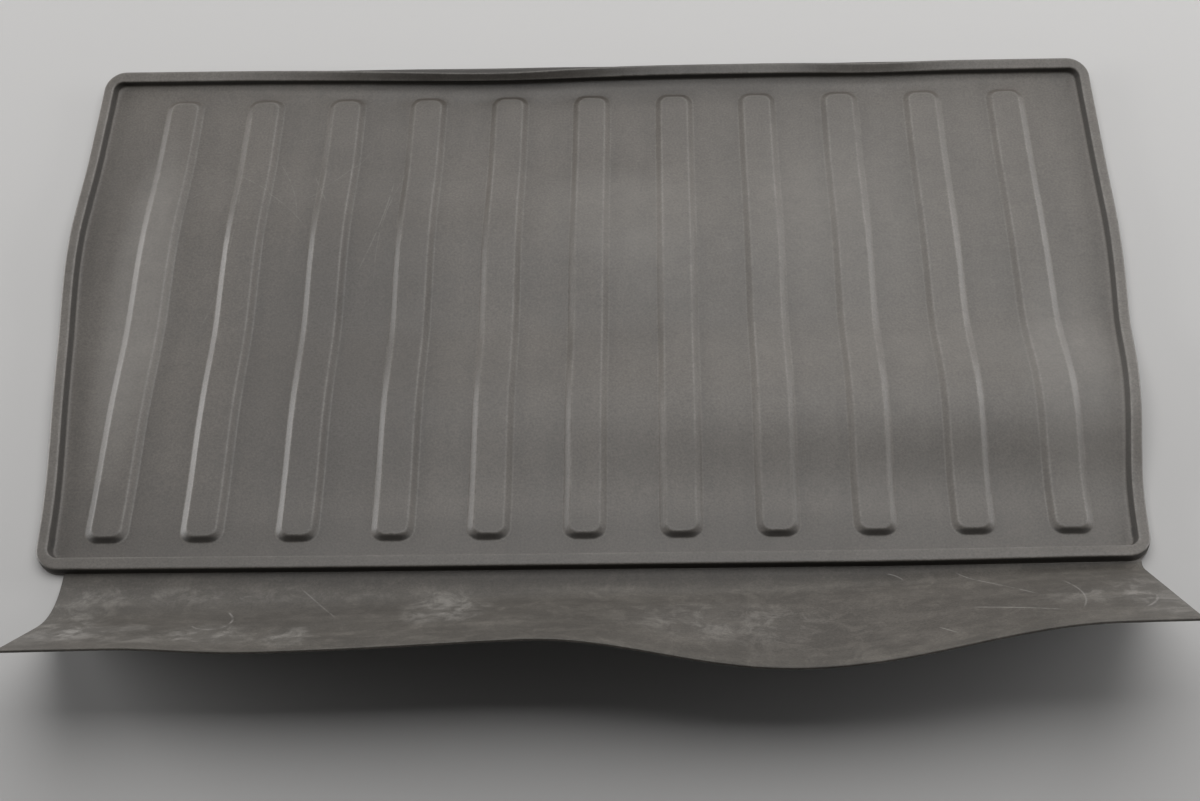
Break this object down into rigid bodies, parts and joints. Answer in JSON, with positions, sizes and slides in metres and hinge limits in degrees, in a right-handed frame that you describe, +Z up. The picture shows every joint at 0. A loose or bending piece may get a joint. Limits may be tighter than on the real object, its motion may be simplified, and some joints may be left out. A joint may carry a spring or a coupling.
{
  "type": "boot liner extension",
  "caption": "Moulded rubber boot liner extension: shallow tray with a raised rim, parallel ribs and a flap that curls up from its near edge.",
  "frame": {"origin": "middle of the mat's outline at the level of the floor it lies on", "axes": "+X across the mat, +Y away from the flap, +Z up out of the tray"},
  "size_m": [1.064, 0.7419, 0.1363],
  "materials": {
    "rubber": "satin, fine grain, warm grey"
  },
  "bodies": {
    "root": {"boot_liner_extension": "rubber"}
  },
  "joints": []
}
